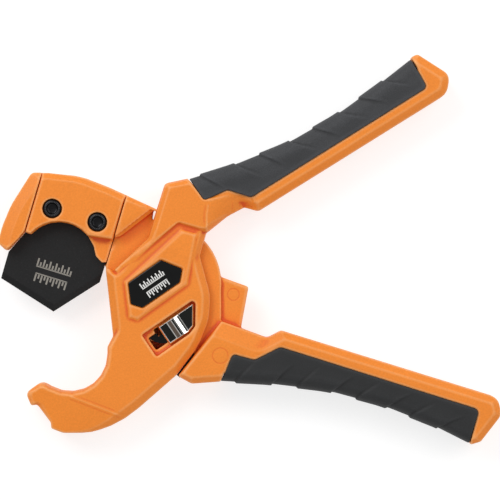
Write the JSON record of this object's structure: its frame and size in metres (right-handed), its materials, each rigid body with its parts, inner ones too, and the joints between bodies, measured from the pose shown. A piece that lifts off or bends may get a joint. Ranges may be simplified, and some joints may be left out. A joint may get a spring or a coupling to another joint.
{
  "type": "pvc pipe cutter",
  "caption": "One-hand cutter for plastic pipe, with a hooked pipe seat, a pivoted pentagonal blade, a sliding lock and two gripped handles.",
  "frame": {"origin": "on the pivot axis, in the plane that the tool rests on, which is the rear badge's face", "axes": "+Z along the pivot axis out of the front face; +X towards the handle ends; +Y from the hook towards the blade carrier"},
  "size_m": [0.2203, 0.1708, 0.024],
  "materials": {
    "orange_casting": "satin orange powder coat on cast aluminium",
    "grip_rubber": "fine matt overmoulded rubber",
    "plated_steel": "bright plated",
    "badge_plastic": "glossy black",
    "black_screws": "black oxide",
    "blade_steel": "satin black non-stick coating",
    "lock_chrome": "polished chrome plate"
  },
  "bodies": {
    "frame": {"body_front_half": "orange_casting", "body_rear_half": "orange_casting", "upper_grip": "grip_rubber", "pivot_pin": "plated_steel", "front_badge": "badge_plastic", "rear_badge": "badge_plastic", "return_spring": "plated_steel", "body_screw_1": "black_screws", "body_screw_2": "black_screws", "body_screw_3": "black_screws", "body_screw_4": "black_screws", "body_screw_5": "black_screws"},
    "lever": {"lever_casting": "orange_casting", "hub_bushing": "plated_steel", "blade_clamp_plate": "orange_casting", "blade": "blade_steel", "clamp_screw_1": "black_screws", "clamp_screw_2": "black_screws", "lower_grip": "grip_rubber"},
    "lock": {"lock_slide": "lock_chrome", "lock_pin": "plated_steel"}
  },
  "joints": [
    {"name": "lever_pivot", "type": "hinge", "parent": "frame", "child": "lever", "pos_m": [0, 0, 0.012], "axis": [0, 0, 1], "range_deg": [0, 50], "stiffness_Nm_per_rad": 0.5, "springref_deg": -34.38, "deforming": ["return_spring"]},
    {"name": "lock_slide_travel", "type": "slide", "parent": "frame", "child": "lock", "axis": [-0.8271, -0.5621, 0], "range_m": [0, 0.0065]}
  ]
}
